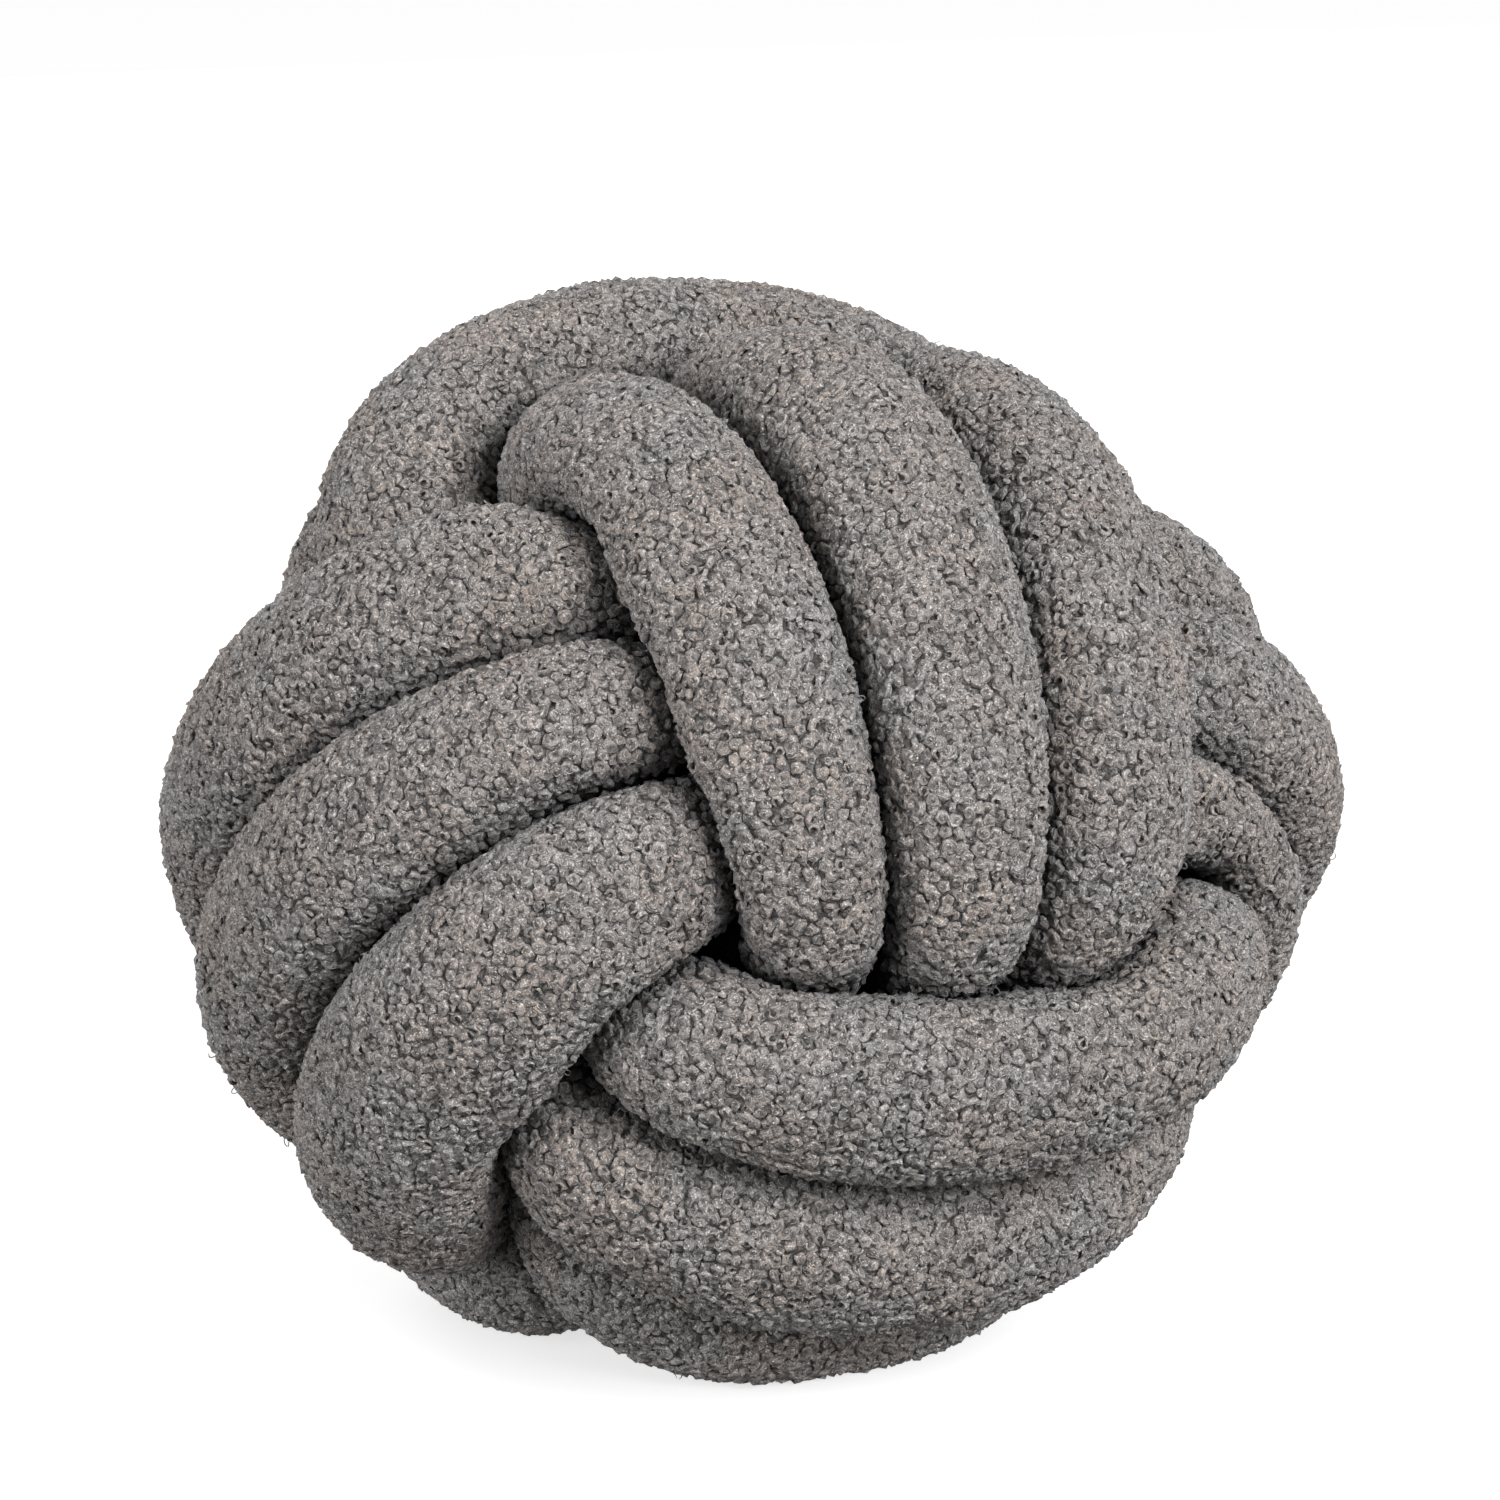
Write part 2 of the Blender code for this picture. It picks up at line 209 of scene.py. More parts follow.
class KnotPileSettings(bpy.types.PropertyGroup):
    """Sizes and colours of the pile."""

    spacing: bpy.props.FloatProperty(
        name="Nub spacing",
        description="Least distance from one nub to the next",
        default=1.78 * MM,
        unit="LENGTH",
        precision=5,
    )
    radius: bpy.props.FloatProperty(
        name="Nub radius",
        description="Radius of a nub of curled yarn",
        default=1.78 * MM,
        unit="LENGTH",
        precision=5,
    )
    curl_share: bpy.props.FloatProperty(
        name="Share of curls",
        description="How many of the nubs are open curls",
        default=0.08,
        subtype="FACTOR",
        min=0.0,
        max=1.0,
    )
    loose_curls: bpy.props.IntProperty(
        name="Loose curls",
        description="How many curls stand out from the pile",
        default=260,
        min=0,
    )
    seed: bpy.props.IntProperty(
        name="Seed",
        description="Another number lays the nubs another way",
        default=11,
        min=0,
    )
    yarn_colour: bpy.props.FloatVectorProperty(
        name="Yarn colour",
        description="Colour of most of the yarn",
        default=(0.186, 0.173, 0.165),
        subtype="COLOR",
        min=0.0,
        max=1.0,
    )
    warm_colour: bpy.props.FloatVectorProperty(
        name="Warm colour",
        description="Colour of the yarn's warmer patches",
        default=(0.2, 0.166, 0.144),
        subtype="COLOR",
        min=0.0,
        max=1.0,
    )
    # Painted shade: the colour that the yarn darkens to at the nubs' roots, deep between them
    root_shade_colour: bpy.props.FloatVectorProperty(
        name="Root colour",
        description="Colour of the yarn deep between the nubs",
        default=(0.11, 0.099, 0.092),
        subtype="COLOR",
        min=0.0,
        max=1.0,
    )
    # Painted highlight: the colour of a glint of light on a single shiny fibre, painted into the
    # yarn
    glint_highlight_colour: bpy.props.FloatVectorProperty(
        name="Glint colour",
        description="Colour of single shiny fibres",
        default=(0.68, 0.65, 0.62),
        subtype="COLOR",
        min=0.0,
        max=1.0,
    )


class KnotStageSettings(bpy.types.PropertyGroup):
    """The floor and the lights."""

    floor_colour: bpy.props.FloatVectorProperty(
        name="Floor colour",
        description="Colour of the floor and the backdrop",
        default=(0.5, 0.5, 0.5),
        subtype="COLOR",
        min=0.0,
        max=1.0,
    )
    floor_glow: bpy.props.FloatProperty(
        name="Floor glow",
        description="Light that the floor gives off by itself, as a light table does",
        default=0.69,
        min=0.0,
    )
    key_power: bpy.props.FloatProperty(
        name="Key light",
        description="Power of the large light in front, at the right",
        default=70.0,
        unit="POWER",
        min=0.0,
    )
    fill_power: bpy.props.FloatProperty(
        name="Fill light",
        description="Power of the large light at the left",
        default=30.0,
        unit="POWER",
        min=0.0,
    )
    back_power: bpy.props.FloatProperty(
        name="Back light",
        description="Power of the large light behind",
        default=40.0,
        unit="POWER",
        min=0.0,
    )
    surround: bpy.props.FloatProperty(
        name="Surround",
        description="Strength of the even light from all round, which is weaker from below",
        default=0.45,
        min=0.0,
    )


# ---------------------------------------------------------------- shader maths


class Maths:
    """A socket of a material's node tree, whose arithmetic adds the nodes that work it out."""

    def __init__(self, shading, socket):
        self.shading = shading
        self.socket = socket

    def _with(self, operation, first, second, clamp=False):
        return self.shading.number(operation, first, second, clamp)

    def __add__(self, other):
        return self._with("ADD", self, other)

    def __sub__(self, other):
        return self._with("SUBTRACT", self, other)

    def __rsub__(self, other):
        return self._with("SUBTRACT", other, self)

    def __mul__(self, other):
        return self._with("MULTIPLY", self, other)

    def clipped(self):
        return self._with("ADD", self, 0.0, clamp=True)


class Shading:
    """A new material, and the nodes that feed its Principled shader."""

    def __init__(self, name):
        self.material = bpy.data.materials.new(name)
        self.material.use_nodes = True
        self.tree = self.material.node_tree
        self.shader = self.tree.nodes["Principled BSDF"]

    def put(self, target, value):
        """Links a socket to target, or sets target's own value."""
        if isinstance(value, Maths):
            self.tree.links.new(value.socket, target)
        elif isinstance(value, tuple) and len(value) == 3 and target.type == "RGBA":
            target.default_value = (*value, 1.0)
        else:
            target.default_value = value

    def node(self, kind, settings=None, inputs=None, output=0):
        """Adds one node, with its settings set first, and gives its output."""
        made = self.tree.nodes.new(kind)
        for name, value in (settings or {}).items():
            setattr(made, name, value)
        for name, value in (inputs or {}).items():
            self.put(made.inputs[name], value)
        return Maths(self, made.outputs[output])

    def number(self, operation, first, second, clamp=False):
        settings = {"operation": operation, "use_clamp": clamp}
        return self.node("ShaderNodeMath", settings, {0: first, 1: second})

    def between(self, value, low, high):
        """0 where value is low, 1 where it is high, and smooth between."""
        settings = {"interpolation_type": "SMOOTHSTEP"}
        inputs = {"Value": value, "From Min": low, "From Max": high}
        return self.node("ShaderNodeMapRange", settings, inputs)

    def within(self, value, low, high):
        """Low where value is 0, and high where it is 1."""
        return value * (high - low) + low

    def mixed(self, share, first, second):
        """The first colour where share is 0, and the second where it is 1."""
        inputs = {"Factor": share, 6: first, 7: second}
        return self.node("ShaderNodeMix", {"data_type": "RGBA"}, inputs, output=2)

    def shaded(self, colour, value):
        return self.node("ShaderNodeHueSaturation", inputs={"Color": colour, "Value": value})

    def place(self):
        return self.node("ShaderNodeTexCoord", output="Object")

    def noise(self, place, width, detail=2.0, distortion=0.0):
        """Noise whose patches are about width wide, from 0 to 1 and mostly near a half."""
        inputs = {"Vector": place, "Scale": 1 / width, "Detail": detail, "Distortion": distortion}
        return self.node("ShaderNodeTexNoise", inputs=inputs)

    def ridges(self, place, width, detail=2.0, distortion=0.0):
        """Thin bright ridges in noise, from 0 to 1."""
        from_half = self.noise(place, width, detail, distortion) * 2.0 - 1.0
        folded = self.number("ABSOLUTE", from_half, 0.0)
        return (1.0 - folded * RIDGE_SLOPE).clipped()

    def own_number(self, name):
        """A number that the piece's mesh holds under this name."""
        return self.node("ShaderNodeAttribute", {"attribute_name": name}, output="Fac")

    def own_vector(self, name):
        """A vector that the piece's mesh holds under this name."""
        return self.node("ShaderNodeAttribute", {"attribute_name": name}, output="Vector")

    def vector(self, operation, first, second=(0.0, 0.0, 0.0)):
        return self.node("ShaderNodeVectorMath", {"operation": operation}, {0: first, 1: second})

    def length(self, vector):
        settings = {"operation": "LENGTH"}
        return self.node("ShaderNodeVectorMath", settings, {0: vector}, output="Value")

    def part(self, vector, axis):
        return self.node("ShaderNodeSeparateXYZ", inputs={0: vector}, output=axis)

    def bump(self, relief, depth):
        inputs = {"Strength": 1.0, "Distance": depth, "Height": relief}
        return self.node("ShaderNodeBump", inputs=inputs)

    def set(self, **values):
        """Sets sockets of the Principled shader, whose names have _ for each space."""
        for name, value in values.items():
            self.put(self.shader.inputs[name.replace("_", " ")], value)


def yarn_colour(shading, place, pile):
    """The yarn's grey, in patches of a warmer one."""
    patches = shading.between(shading.noise(place, PATCH_WIDTH, detail=3.0), *PATCH_NOISE)
    return shading.mixed(patches, tuple(pile.yarn_colour), tuple(pile.warm_colour))


def painted_crease_shade(shading, colour):
    """Darkens a colour with painted shade where the cloth lies deep between two strands."""
    share = shading.between(shading.own_number("open"), *CREASE_OPEN)
    return shading.shaded(colour, shading.within(share, *PAINTED_CREASE_SHADES))


def turning_fibres(shading, curl, tone):
    """Fibres that turn round a nub's dimple, and how far from the dimple a place is."""
    flat = shading.vector("MULTIPLY", curl, (1.0, 1.0, 0.0))
    away = shading.length(flat)
    parts = {
        "X": away * TURNS_A_RADIUS,
        "Y": shading.part(curl, 2) * TURNS_A_RADIUS,
        "Z": tone * NUB_CHANGE,
    }
    spread = shading.node("ShaderNodeCombineXYZ", inputs=parts)
    turn = shading.vector("NORMALIZE", flat)
    changed = shading.vector("MULTIPLY", turn, (TURN_CHANGE, TURN_CHANGE, 0.0))
    across = shading.vector("ADD", spread, changed)
    return shading.ridges(across, 1.0, detail=1.0, distortion=TURN_DISTORTION), away


def pile_material(pile):
    """Curled yarn: each nub is a turn of fine fibres round a middle darkened with painted shade,
    with a painted highlight on its ring and a painted glint here and there on single fibres, and no
    two are alike.
    """
    shading = Shading("boucle_pile")
    place = shading.place()
    tone = shading.own_number("tone")
    turns, away = turning_fibres(shading, shading.own_vector("curl"), tone)
    fibres = shading.ridges(place, FIBRE_WIDTH, detail=1.0, distortion=FIBRE_DISTORTION)
    strands = turns * TURN_SHARE + fibres * (1 - TURN_SHARE)
    fuzz = shading.noise(place, FUZZ_WIDTH, detail=1.0)
    from_ring = shading.number("ABSOLUTE", away - shading.within(tone, *RING_PLACES), 0.0)
    ring = shading.between(from_ring, RING_WIDTH, 0.0)
    # Painted shade: each nub darker towards its root, between the nubs
    up_from_root = shading.between(shading.own_number("height"), 0.0, ROOT_SHADE_HEIGHT)
    yarn = yarn_colour(shading, place, pile)
    root_shaded = shading.mixed(up_from_root, tuple(pile.root_shade_colour), yarn)
    shade = (
        shading.within(strands, *STRAND_SHADES)
        # painted highlight on the nub's raised ring
        * shading.within(ring, *RING_HIGHLIGHT_SHADES)
        # painted shade in the nub's dimple
        * shading.within(shading.between(away, *DIMPLE_SHADE_EDGE), *DIMPLE_PAINTED_SHADES)
        * shading.within(tone, *TONE_SHADES)
    )
    # Painted highlight: a glint of light on single fibres, painted into the colour, where they are
    # also less rough
    painted_glints = shading.between(fuzz, *GLINT_FUZZ) * shading.between(strands, *GLINT_STRANDS)
    lit = shading.mixed(painted_glints, shading.shaded(root_shaded, shade), tuple(pile.glint_highlight_colour))
    relief = ring * RING_RELIEF + strands * STRAND_RELIEF + fuzz * FUZZ_RELIEF
    shading.set(
        # the base colour carries painted shade in the creases
        Base_Color=painted_crease_shade(shading, lit),
        Roughness=1.0 - painted_glints * GLINT_SHINE,
        Normal=shading.bump(relief, PILE_DEPTH),
        Specular_IOR_Level=0.25,
        Sheen_Weight=0.3,
        Sheen_Roughness=0.6,
        Sheen_Tint=(0.8, 0.83, 0.88),
    )
    return shading.material


def ground_material(tube):
    """The cloth's woven ground, dark between the roots of the nubs, with painted shade in the
    cracks between its cells.
    """
    shading = Shading("boucle_ground")
    place = shading.place()
    cells = {"Vector": place, "Scale": 1 / GROUND_CELL}
    middles = shading.node("ShaderNodeTexVoronoi", {"feature": "F1"}, cells)
    edges = shading.node("ShaderNodeTexVoronoi", {"feature": "DISTANCE_TO_EDGE"}, cells)
    fibres = shading.ridges(place, GROUND_FIBRE, detail=1.0, distortion=FIBRE_DISTORTION)
    # Painted shade in the cracks between the ground's cells
    nubs = shading.between(edges, 0.0, GROUND_CRACK)
    painted_crack_shade = shading.within(nubs, *GROUND_PAINTED_CRACK_SHADES)
    shade = painted_crack_shade * shading.within(fibres, *GROUND_FIBRE_SHADES)
    relief = 1.0 - middles + fibres * GROUND_FIBRE_RELIEF
    shading.set(
        # the base colour carries painted shade in the creases
        Base_Color=painted_crease_shade(shading, shading.shaded(tuple(tube.ground_colour), shade)),
        Normal=shading.bump(relief, GROUND_DEPTH),
        Roughness=0.95,
        Specular_IOR_Level=0.2,
    )
    return shading.material


def floor_material(stage):
    """Seamless paper, faintly uneven."""
    shading = Shading("floor_paper")
    grain = shading.noise(shading.place(), PAPER_GRAIN, detail=4.0)
    shading.set(
        Base_Color=tuple(stage.floor_colour),
        Emission_Color=(1.0, 1.0, 1.0),
        Emission_Strength=stage.floor_glow,
        Roughness=shading.within(grain, *PAPER_ROUGHNESS),
        Specular_IOR_Level=0.2,
    )
    return shading.material


# ---------------------------------------------------------------- meshes


def deselect_all():
    bpy.ops.object.select_all(action="DESELECT")


def make_active(item):
    deselect_all()
    item.select_set(True)
    bpy.context.view_layer.objects.active = item


def apply_modifier(item, name, kind, **settings):
    modifier = item.modifiers.new(name, kind)
    for key, value in settings.items():
        setattr(modifier, key, value)
    make_active(item)
    bpy.ops.object.modifier_apply(modifier=name)


def corners_of(mesh):
    corners = np.empty(len(mesh.vertices) * 3)
    mesh.vertices.foreach_get("co", corners)
    return corners.reshape(-1, 3)


def normals_of(mesh):
    normals = np.empty(len(mesh.vertices) * 3)
    mesh.vertex_normals.foreach_get("vector", normals)
    return normals.reshape(-1, 3)


def triangles_of(mesh):
    mesh.calc_loop_triangles()
    triangles = np.empty(len(mesh.loop_triangles) * 3, dtype=int)
    mesh.loop_triangles.foreach_get("vertices", triangles)
    return triangles.reshape(-1, 3)


def numbers_of(mesh, name):
    numbers = np.empty(len(mesh.vertices))
    mesh.attributes[name].data.foreach_get("value", numbers)
    return numbers


def finish_piece(piece, material):
    """Gives a finished piece its material and its body."""
    piece.data.materials.clear()
    piece.data.materials.append(material)
    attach(piece, BODY)


def smoothed_copy(node, name):
    """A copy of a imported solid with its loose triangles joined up, as an object of its own."""
    piece = bpy.data.objects.new(name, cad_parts[node].data.copy())
    bpy.context.scene.collection.objects.link(piece)
    make_active(piece)
    bpy.ops.object.mode_set(mode="EDIT")
    bpy.ops.mesh.select_all(action="SELECT")
    bpy.ops.mesh.remove_doubles(threshold=WELD)
    bpy.ops.mesh.tris_convert_to_quads(face_threshold=QUAD_ANGLE, shape_threshold=QUAD_ANGLE)
    bpy.ops.object.mode_set(mode="OBJECT")
    apply_modifier(piece, "smooth", "SUBSURF", levels=TUBE_LEVELS, render_levels=TUBE_LEVELS)
    bpy.ops.object.shade_smooth()
    return piece


def lift_off_floor(piece, clearance):
    """Flattens what would go through the floor."""
    corners = corners_of(piece.data)
    corners[:, 2] = np.maximum(corners[:, 2], clearance)
    piece.data.vertices.foreach_set("co", corners.ravel())
    piece.data.update()


def sky_directions(count):
    """Directions spread evenly over a whole sphere, each a golden angle round from the last."""
    order = np.arange(count) + 0.5
    height = 1 - 2 * order / count
    turn = order * math.pi * (3 - math.sqrt(5))
    level = np.sqrt(1 - height**2)
    return np.stack([level * np.cos(turn), level * np.sin(turn), height], axis=1)


def openness(mesh):
    """For each vertex, the share of directions in front of it that nothing of the tube blocks."""
    corners = corners_of(mesh)
    normals = normals_of(mesh)
    tree = BVHTree.FromPolygons(corners.tolist(), triangles_of(mesh).tolist())
    directions = sky_directions(SKY_DIRECTIONS)
    starts = corners + normals * LOOKOUT_START
    rises = normals @ directions.T
    ways = [Vector(direction) for direction in directions]
    shares = np.zeros(len(corners))
    for i, start in enumerate(starts):
        ahead = np.flatnonzero(rises[i] > LEAST_RISE)
        seen = [tree.ray_cast(Vector(start), ways[way], LOOKOUT_LENGTH)[0] is None for way in ahead]
        shares[i] = np.mean(seen)
    return shares


def places_on(mesh, spacing, random):
    """Many random places where a mesh can be seen, with its normal and openness at each."""
    corners = corners_of(mesh)
    normals = normals_of(mesh)
    triangles = triangles_of(mesh)
    shares = numbers_of(mesh, "open")
    triangles = triangles[shares[triangles].max(axis=1) > LEAST_OPEN]
    one, two, three = (corners[triangles[:, i]] for i in range(3))
    areas = np.linalg.norm(np.cross(two - one, three - one), axis=1) / 2
    count = round(TRIES_PER_NUB * areas.sum() / spacing**2)
    chosen = triangles[random.choice(len(triangles), count, p=areas / areas.sum())]
    weights = random.dirichlet((1, 1, 1), count)[:, :, None]
    places = (corners[chosen] * weights).sum(axis=1)
    facing = (normals[chosen] * weights).sum(axis=1)
    facing /= np.linalg.norm(facing, axis=1, keepdims=True)
    return places, facing, (shares[chosen] * weights[:, :, 0]).sum(axis=1)


def thinned(places, spacings):
    """The places that stay when none may be nearer than its spacing to an earlier one."""
    tree = KDTree(len(places))
    for i, place in enumerate(places):
        tree.insert(place, i)
    tree.balance()
    taken = np.zeros(len(places), dtype=bool)
    kept = []
    for i, place in enumerate(places):
        if taken[i]:
            continue
        kept.append(i)
        for _, other, _ in tree.find_range(place, spacings[i]):
            taken[other] = True
    return np.array(kept)


def frames_along(facing, random):
    """For each direction, a frame whose third axis is that direction, turned about it at random."""
    any_way = random.normal(size=facing.shape)
    across = np.cross(facing, any_way)
    across /= np.linalg.norm(across, axis=1, keepdims=True)
    return np.stack([across, np.cross(facing, across), facing], axis=2)


def cell_layout(corners, faces):
    """Lays faces out in a unit square: the upper ones from above, and the lower ones smaller."""
    spread = corners[faces][:, :, :2] / np.abs(corners[:, :2]).max()
    one, two = spread[:, 1] - spread[:, 0], spread[:, 2] - spread[:, 0]
    upper = (one[:, 0] * two[:, 1] > one[:, 1] * two[:, 0])[:, None, None]
    above = UPPER_MIDDLE + UPPER_REACH * spread
    return np.where(upper, above, LOWER_MIDDLE + LOWER_REACH * spread)


def taken_away(item):
    """Removes a shape that was modelled to be copied, and gives its corners and its skin."""
    make_active(item)
    bpy.ops.object.mode_set(mode="EDIT")
    bpy.ops.mesh.select_all(action="SELECT")
    bpy.ops.mesh.remove_doubles(threshold=SHAPE_WELD)
    bpy.ops.mesh.quads_convert_to_tris()
    bpy.ops.mesh.normals_make_consistent(inside=False)
    bpy.ops.object.mode_set(mode="OBJECT")
    corners = corners_of(item.data)
    faces = np.array([list(face.vertices) for face in item.data.polygons])
    mesh = item.data
    bpy.data.objects.remove(item)
    bpy.data.meshes.remove(mesh)
    return corners, (faces, cell_layout(corners, faces))


def tuft_shape():
    """A low round tuft of yarn, 1 in radius, with a dimple where its curl turns in."""
    deselect_all()
    bpy.ops.mesh.primitive_cone_add(
        vertices=TUFT_SIDES, radius1=1.0, radius2=TUFT_TOP, depth=TUFT_HEIGHT
    )
    item = bpy.context.object
    bpy.ops.object.mode_set(mode="EDIT")
    bpy.ops.mesh.select_mode(type="FACE")
    bpy.ops.mesh.select_all(action="DESELECT")
    bpy.ops.object.mode_set(mode="OBJECT")
    for face in item.data.polygons:
        face.select = face.normal.z > UPWARD
    bpy.ops.object.mode_set(mode="EDIT")
    bpy.ops.mesh.poke(offset=-TUFT_DIMPLE)
    bpy.ops.object.mode_set(mode="OBJECT")
    return taken_away(item)


def curl_shape(radius, rod, steps):
    """A rod of yarn that is curled most of a turn about Z, thinner at its ends."""
    deselect_all()
    bpy.ops.mesh.primitive_circle_add(
        vertices=3,
        radius=rod,
        fill_type="NGON",
        location=(radius, 0, 0),
        rotation=(math.pi / 2, 0, 0),
    )
    item = bpy.context.object
    bpy.ops.object.transform_apply()
    bpy.ops.object.mode_set(mode="EDIT")
    bpy.ops.mesh.select_all(action="SELECT")
    bpy.ops.mesh.spin(steps=steps, angle=CURL_TURN, center=(0, 0, 0), axis=(0, 0, 1))
    bpy.ops.transform.resize(value=(CURL_END,) * 3)
    bpy.ops.object.mode_set(mode="OBJECT")
    for corner in item.data.vertices:
        corner.select = abs(corner.co.y) < SHAPE_WELD and corner.co.x > 0
    bpy.ops.object.mode_set(mode="EDIT")
    bpy.ops.transform.resize(value=(CURL_END,) * 3)
    bpy.ops.object.mode_set(mode="OBJECT")
    return taken_away(item)


def add_cells(mesh, layout, copies):
    """Gives each copy its own square of the UV map that colours can be baked through."""
    per_row = math.ceil(math.sqrt(copies))
    order = np.arange(copies)
    cells = np.stack([order % per_row, order // per_row], axis=1)
    places = (cells[:, None, None] + layout[None]) / per_row
    mesh.uv_layers.new(name=EXPORT_MAP).data.foreach_set("uv", places.ravel())


def joined_mesh(name, corners, skin, numbers):
    """One mesh from copies of a shape: corners is (copies, corners, 3), skin that of the shape."""
    faces, layout = skin
    copies, per_copy = corners.shape[:2]
    mesh = bpy.data.meshes.new(name)
    first_corners = np.arange(copies)[:, None, None] * per_copy
    all_faces = (faces[None] + first_corners).reshape(-1, faces.shape[1])
    mesh.vertices.add(copies * per_copy)
    mesh.vertices.foreach_set("co", corners.ravel())
    mesh.loops.add(all_faces.size)
    mesh.loops.foreach_set("vertex_index", all_faces.ravel())
    mesh.polygons.add(len(all_faces))
    mesh.polygons.foreach_set("loop_start", np.arange(0, all_faces.size, faces.shape[1]))
    mesh.update(calc_edges=True)
    mesh.shade_smooth()
    add_cells(mesh, layout, copies)
    for key, values in numbers.items():
        kind, field = ("FLOAT_VECTOR", "vector") if values.ndim == 3 else ("FLOAT", "value")
        mesh.attributes.new(key, kind, "POINT").data.foreach_set(field, values.ravel())
    return mesh


def add_pieces(name, corners, skin, numbers, material):
    """Joins copies into pieces under the triangle limit, each of one stretch round the ball."""
    from_middle = corners.mean(axis=1) - np.array(BALL_MIDDLE)
    order = np.argsort(np.arctan2(from_middle[:, 1], from_middle[:, 0]))
    stretches = np.array_split(order, math.ceil(len(order) * len(skin[0]) / TRIANGLES_A_PIECE))
    for count, chosen in enumerate(stretches, start=1):
        chosen_numbers = {key: values[chosen] for key, values in numbers.items()}
        mesh = joined_mesh(f"{name}_{count}", corners[chosen], skin, chosen_numbers)
        piece = bpy.data.objects.new(f"{name}_{count}", mesh)
        bpy.context.scene.collection.objects.link(piece)
        finish_piece(piece, material)


def add_copies(name, shapes, skin, middles, cloth, axes, rise, radius, random, material):
    """Lays shapes on the cloth, each about its own axis, with what the material reads of them."""
    places, facing, shares = cloth
    count, per_copy = shapes.shape[:2]
    turned = shapes @ frames_along(axes, random).transpose(0, 2, 1)
    corners = places[:, None] + facing[:, None] * rise[:, None, None] + turned
    corners[:, :, 2] = np.maximum(corners[:, :, 2], FLOOR_CLEARANCE)
    height = ((corners - places[:, None]) * facing[:, None]).sum(axis=2)
    numbers = {
        "height": height / radius,
        "tone": np.repeat(random.random((count, 1)), per_copy, axis=1),
        "open": np.repeat(shares[:, None], per_copy, axis=1),
        "curl": (shapes - middles) / radius,
    }
    add_pieces(name, corners, skin, numbers, material)


def leaning(facing, amount, random):
    """Directions that lean from the given ones by a random part of amount."""
    leaned = facing + amount * random.normal(size=facing.shape)
    return leaned / np.linalg.norm(leaned, axis=1, keepdims=True)


# ---------------------------------------------------------------- operators


class KNOT_OT_tube(bpy.types.Operator):
    """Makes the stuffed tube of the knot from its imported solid"""

    bl_idname = "knot.tube"
    bl_label = "Stuffed tube"
    bl_options = {"REGISTER", "UNDO"}

    def execute(self, context):
        settings = context.scene.knot_tube_settings
        tube = smoothed_copy(SOLID, "knot_cloth")
        lumps = bpy.data.textures.new("filling_lumps", type="CLOUDS")
        lumps.noise_scale = settings.lump_width
        apply_modifier(
            tube,
            "lumps",
            "DISPLACE",
            texture=lumps,
            texture_coords="LOCAL",
            strength=settings.lump_height,
        )
        lift_off_floor(tube, FLOOR_CLEARANCE)
        shares = openness(tube.data)
        tube.data.attributes.new("open", "FLOAT", "POINT").data.foreach_set("value", shares)
        finish_piece(tube, ground_material(settings))
        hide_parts(SOLID)
        return {"FINISHED"}


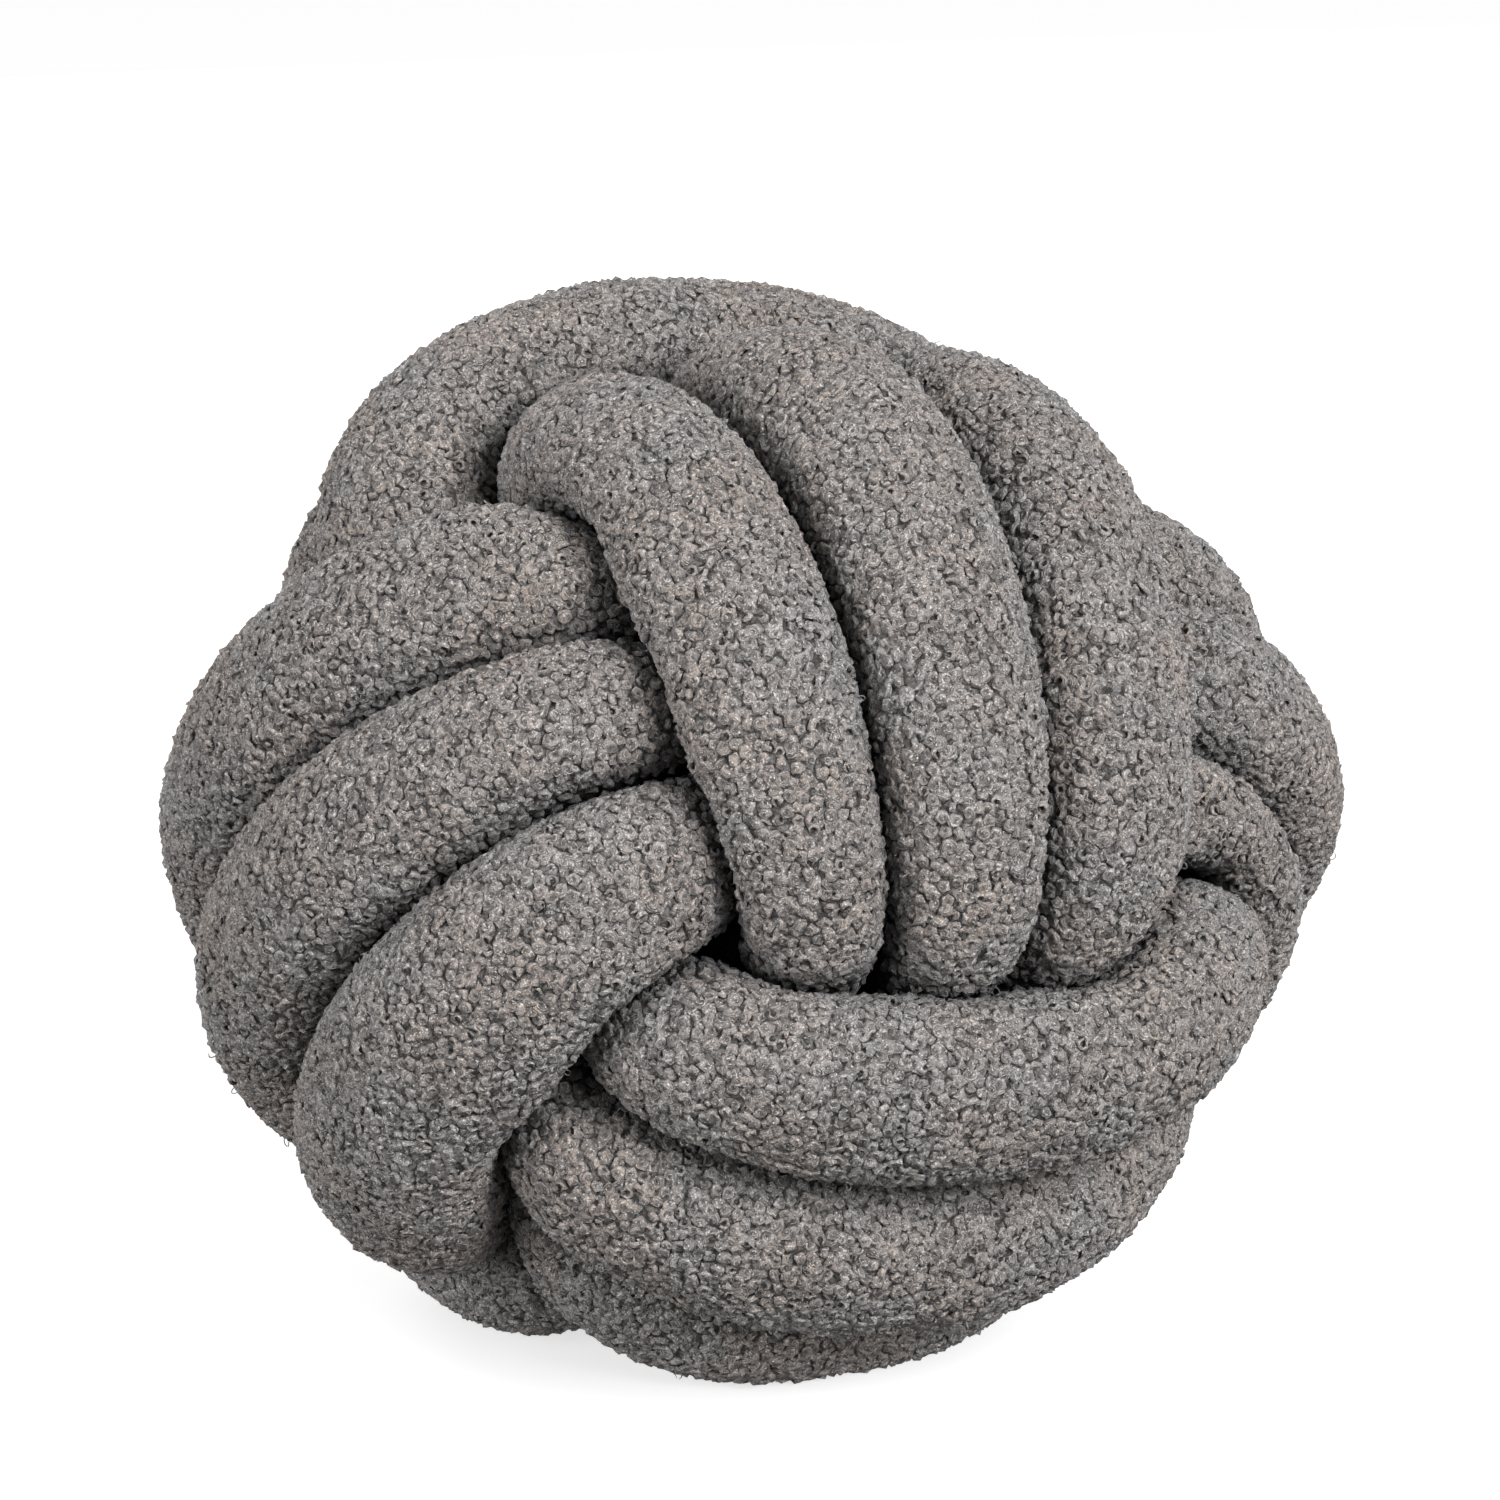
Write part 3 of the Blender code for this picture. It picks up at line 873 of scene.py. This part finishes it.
class KNOT_OT_pile(bpy.types.Operator):
    """Packs the nubs and open curls of the cloth's pile over the tube"""

    bl_idname = "knot.pile"
    bl_label = "Boucle pile"
    bl_options = {"REGISTER", "UNDO"}

    def execute(self, context):
        settings = context.scene.knot_pile_settings
        random = np.random.default_rng(settings.seed)
        tube = bpy.data.objects["knot_cloth"]
        places, facing, shares = places_on(tube.data, settings.spacing, random)
        looser = np.clip((WELL_OPEN - shares) / (WELL_OPEN - LEAST_OPEN), 0, 1)
        kept = thinned(places, settings.spacing * (1 + (CREASE_SPACING - 1) * looser))
        is_curl = random.random(len(kept)) < settings.curl_share
        is_loose = random.choice(kept, settings.loose_curls, replace=False)
        material = pile_material(settings)
        for add, chosen in (
            (self.add_tufts, kept[~is_curl]),
            (self.add_curls, kept[is_curl]),
            (self.add_loose_curls, is_loose),
        ):
            cloth = (places[chosen], facing[chosen], shares[chosen])
            add(settings, cloth, random, material)
        return {"FINISHED"}

    def add_tufts(self, settings, cloth, random, material):
        """Closed nubs: small round tufts, no two alike."""
        tuft, skin = tuft_shape()
        facing = cloth[1]
        count = len(facing)
        radius = settings.radius
        sizes = radius * random.uniform(*TUFT_SIZES, (count, 1, 1))
        shapes = tuft[None] * sizes * random.uniform(*TUFT_SIZES, (count, 1, 3))
        shapes += random.normal(0.0, UNEVENNESS * radius, shapes.shape)
        dimple = np.argmin(np.abs(tuft[:, :2]).sum(axis=1))
        shapes[:, dimple, :2] += random.normal(0.0, DIMPLE_SHIFT * radius, (count, 2))
        middles = shapes[:, dimple : dimple + 1]
        rise = radius * random.uniform(*RISE, count)
        axes = leaning(facing, TUFT_LEAN, random)
        add_copies("pile_tufts", shapes, skin, middles, cloth, axes, rise, radius, random, material)

    def add_curls(self, settings, cloth, random, material):
        """Open curls: short rods of yarn that are curled up and lie tilted on the cloth."""
        curl, skin = curl_shape(CURL_RADIUS, CURL_ROD, CURL_STEPS)
        facing = cloth[1]
        count = len(facing)
        radius = settings.radius
        sizes = radius * random.uniform(*CURL_SIZES, (count, 1, 1))
        shapes = curl[None] * random.normal(1.0, UNEVENNESS / 2, (count, len(curl), 1)) * sizes
        rise = radius * random.uniform(*RISE, count)
        axes = leaning(facing, CURL_LEAN, random)
        add_copies("pile_curls", shapes, skin, 0.0, cloth, axes, rise, radius, random, material)

    def add_loose_curls(self, settings, cloth, random, material):
        """Thin curls that stand out from the pile here and there."""
        curl, skin = curl_shape(1.0, LOOSE_ROD, LOOSE_STEPS)
        facing = cloth[1]
        count = len(facing)
        radius = settings.radius
        shapes = curl[None] * radius * random.uniform(*LOOSE_SIZES, (count, 1, 1))
        sideways = np.cross(facing, random.normal(size=facing.shape))
        axes = leaning(sideways, LOOSE_LEAN, random)
        rise = radius * random.uniform(*LOOSE_RISE, count)
        add_copies("loose_curls", shapes, skin, 0.0, cloth, axes, rise, radius, random, material)


class KNOT_OT_stage(bpy.types.Operator):
    """Adds the floor, the lights and the camera"""

    bl_idname = "knot.stage"
    bl_label = "Stage"
    bl_options = {"REGISTER", "UNDO"}

    def execute(self, context):
        settings = context.scene.knot_stage_settings
        self.add_floor(settings)
        self.add_lights(context, settings)
        self.add_surround(context, settings)
        self.add_camera(context)
        context.scene.view_settings.view_transform = "Standard"
        return {"FINISHED"}

    def add_floor(self, settings):
        """A sheet of paper on the floor that curves up into a backdrop on all four sides.

        The paper's glow keeps it white. Diffuse light passes it by, or it would light the ball
        from below as no paper in the ball's own shade does.
        """
        deselect_all()
        bpy.ops.mesh.primitive_plane_add(size=BACKDROP_WIDTH)
        floor = bpy.context.object
        floor.name = "floor"
        bpy.ops.object.mode_set(mode="EDIT")
        bpy.ops.mesh.extrude_region_move(TRANSFORM_OT_translate={"value": (0, 0, BACKDROP_HEIGHT)})
        bpy.ops.mesh.delete(type="ONLY_FACE")
        bpy.ops.mesh.select_all(action="SELECT")
        bpy.ops.mesh.normals_make_consistent(inside=True)
        bpy.ops.object.mode_set(mode="OBJECT")
        apply_modifier(floor, "curve", "BEVEL", width=BACKDROP_CURVE, segments=BACKDROP_SEGMENTS)
        bpy.ops.object.shade_smooth()
        floor.data.materials.append(floor_material(settings))
        floor.visible_diffuse = False

    def add_lights(self, context, settings):
        """Large square lights, each turned towards the ball."""
        for name, (place, width) in LIGHTS.items():
            light = bpy.data.lights.new(name, "AREA")
            light.energy = getattr(settings, f"{name}_power")
            light.size = width
            item = bpy.data.objects.new(name, light)
            item.location = place
            to_ball = BALL_MIDDLE - Vector(place)
            item.rotation_euler = to_ball.to_track_quat("-Z", "Y").to_euler()
            context.scene.collection.objects.link(item)

    def add_surround(self, context, settings):
        """Light from all round, weaker from below, where the ball shades the floor."""
        world = bpy.data.worlds.new("studio")
        world.use_nodes = True
        nodes, links = world.node_tree.nodes, world.node_tree.links
        direction = nodes.new("ShaderNodeTexCoord")
        height = nodes.new("ShaderNodeSeparateXYZ")
        strength = nodes.new("ShaderNodeMapRange")
        background = nodes["Background"]
        links.new(direction.outputs["Generated"], height.inputs[0])
        links.new(height.outputs["Z"], strength.inputs["Value"])
        links.new(strength.outputs["Result"], background.inputs["Strength"])
        strength.inputs["From Min"].default_value = SURROUND_HEIGHTS[0]
        strength.inputs["From Max"].default_value = SURROUND_HEIGHTS[1]
        strength.inputs["To Min"].default_value = settings.surround * SURROUND_BELOW
        strength.inputs["To Max"].default_value = settings.surround
        background.inputs["Color"].default_value = (1.0, 1.0, 1.0, 1.0)
        context.scene.world = world

    def add_camera(self, context):
        """The photograph's camera: level with nothing tilted, a little above the ball."""
        away = Vector((0.0, -math.cos(CAMERA_ELEVATION), math.sin(CAMERA_ELEVATION)))
        camera = bpy.data.cameras.new("camera")
        camera.lens = CAMERA_LENS
        camera.sensor_width = CAMERA_SENSOR
        camera.shift_y = (PHOTO_BALL_MIDDLE_Y - PHOTO_SIZE / 2) / PHOTO_SIZE
        item = bpy.data.objects.new("camera", camera)
        item.location = BALL_MIDDLE + away * CAMERA_DISTANCE
        item.rotation_euler = (-away).to_track_quat("-Z", "Y").to_euler()
        context.scene.collection.objects.link(item)
        context.scene.camera = item


class KNOT_PT_panel(bpy.types.Panel):
    """Lists the cushion's pieces and its stage"""

    bl_idname = "KNOT_PT_panel"
    bl_label = "Knot cushion"
    bl_space_type = "VIEW_3D"
    bl_region_type = "UI"
    bl_category = "Knot cushion"

    def draw(self, context):
        for operator in (KNOT_OT_tube, KNOT_OT_pile, KNOT_OT_stage):
            self.layout.operator(operator.bl_idname)


CLASSES = (
    KnotTubeSettings,
    KnotPileSettings,
    KnotStageSettings,
    KNOT_OT_tube,
    KNOT_OT_pile,
    KNOT_OT_stage,
    KNOT_PT_panel,
)
SETTINGS = {
    "knot_tube_settings": KnotTubeSettings,
    "knot_pile_settings": KnotPileSettings,
    "knot_stage_settings": KnotStageSettings,
}


def register():
    for entry in CLASSES:
        bpy.utils.register_class(entry)
    for name, group in SETTINGS.items():
        setattr(bpy.types.Scene, name, bpy.props.PointerProperty(type=group))


def unregister():
    for name in SETTINGS:
        delattr(bpy.types.Scene, name)
    for entry in reversed(CLASSES):
        bpy.utils.unregister_class(entry)


def main():
    register()
    bpy.ops.knot.tube()
    bpy.ops.knot.pile()
    bpy.ops.knot.stage()


if __name__ == "__main__":
    main()
